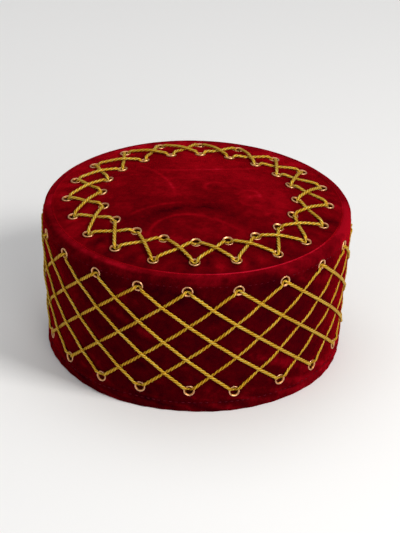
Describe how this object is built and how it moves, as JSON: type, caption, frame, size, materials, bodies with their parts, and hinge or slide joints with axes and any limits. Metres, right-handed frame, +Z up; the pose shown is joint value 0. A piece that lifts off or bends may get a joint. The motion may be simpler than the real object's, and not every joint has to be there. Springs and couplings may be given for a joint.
{
  "type": "sufi cap",
  "caption": "Stiff round brimless velvet cap with a shallow domed crown, laced with gold cord through brass eyelets; hollow for the head.",
  "frame": {"origin": "middle of the rim's circle, on the surface that the cap rests on", "axes": "+Z up along the cap's axis, -Y the side that faces the viewer, +X to the right"},
  "size_m": [0.1946, 0.1946, 0.1005],
  "materials": {
    "velvet_band": "crimson velvet, short pile, darker where it faces the viewer",
    "velvet_crown": "crimson velvet, short pile with brushed marks",
    "eyelet_brass": "rolled brass, bright on the crest",
    "gold_cord": "twisted three-ply cord, golden with a satin sheen"
  },
  "bodies": {
    "root": {"band": "velvet_band", "crown": "velvet_crown", "crown_lacing_a": "gold_cord", "crown_lacing_b": "gold_cord", "eyelet_lower_01": "eyelet_brass", "eyelet_lower_02": "eyelet_brass", "eyelet_lower_03": "eyelet_brass", "eyelet_lower_04": "eyelet_brass", "eyelet_lower_05": "eyelet_brass", "eyelet_lower_06": "eyelet_brass", "eyelet_lower_07": "eyelet_brass", "eyelet_lower_08": "eyelet_brass", "eyelet_lower_09": "eyelet_brass", "eyelet_lower_10": "eyelet_brass", "eyelet_lower_11": "eyelet_brass", "eyelet_lower_12": "eyelet_brass", "eyelet_lower_13": "eyelet_brass", "eyelet_lower_14": "eyelet_brass", "eyelet_lower_15": "eyelet_brass", "eyelet_lower_16": "eyelet_brass", "eyelet_lower_17": "eyelet_brass", "eyelet_lower_18": "eyelet_brass", "eyelet_lower_19": "eyelet_brass", "eyelet_lower_20": "eyelet_brass", "eyelet_upper_01": "eyelet_brass", "eyelet_upper_02": "eyelet_brass", "eyelet_upper_03": "eyelet_brass", "eyelet_upper_04": "eyelet_brass", "eyelet_upper_05": "eyelet_brass", "eyelet_upper_06": "eyelet_brass", "eyelet_upper_07": "eyelet_brass", "eyelet_upper_08": "eyelet_brass", "eyelet_upper_09": "eyelet_brass", "eyelet_upper_10": "eyelet_brass", "eyelet_upper_11": "eyelet_brass", "eyelet_upper_12": "eyelet_brass", "eyelet_upper_13": "eyelet_brass", "eyelet_upper_14": "eyelet_brass", "eyelet_upper_15": "eyelet_brass", "eyelet_upper_16": "eyelet_brass", "eyelet_upper_17": "eyelet_brass", "eyelet_upper_18": "eyelet_brass", "eyelet_upper_19": "eyelet_brass", "eyelet_upper_20": "eyelet_brass", "side_lacing_a": "gold_cord", "side_lacing_b": "gold_cord"}
  },
  "joints": []
}
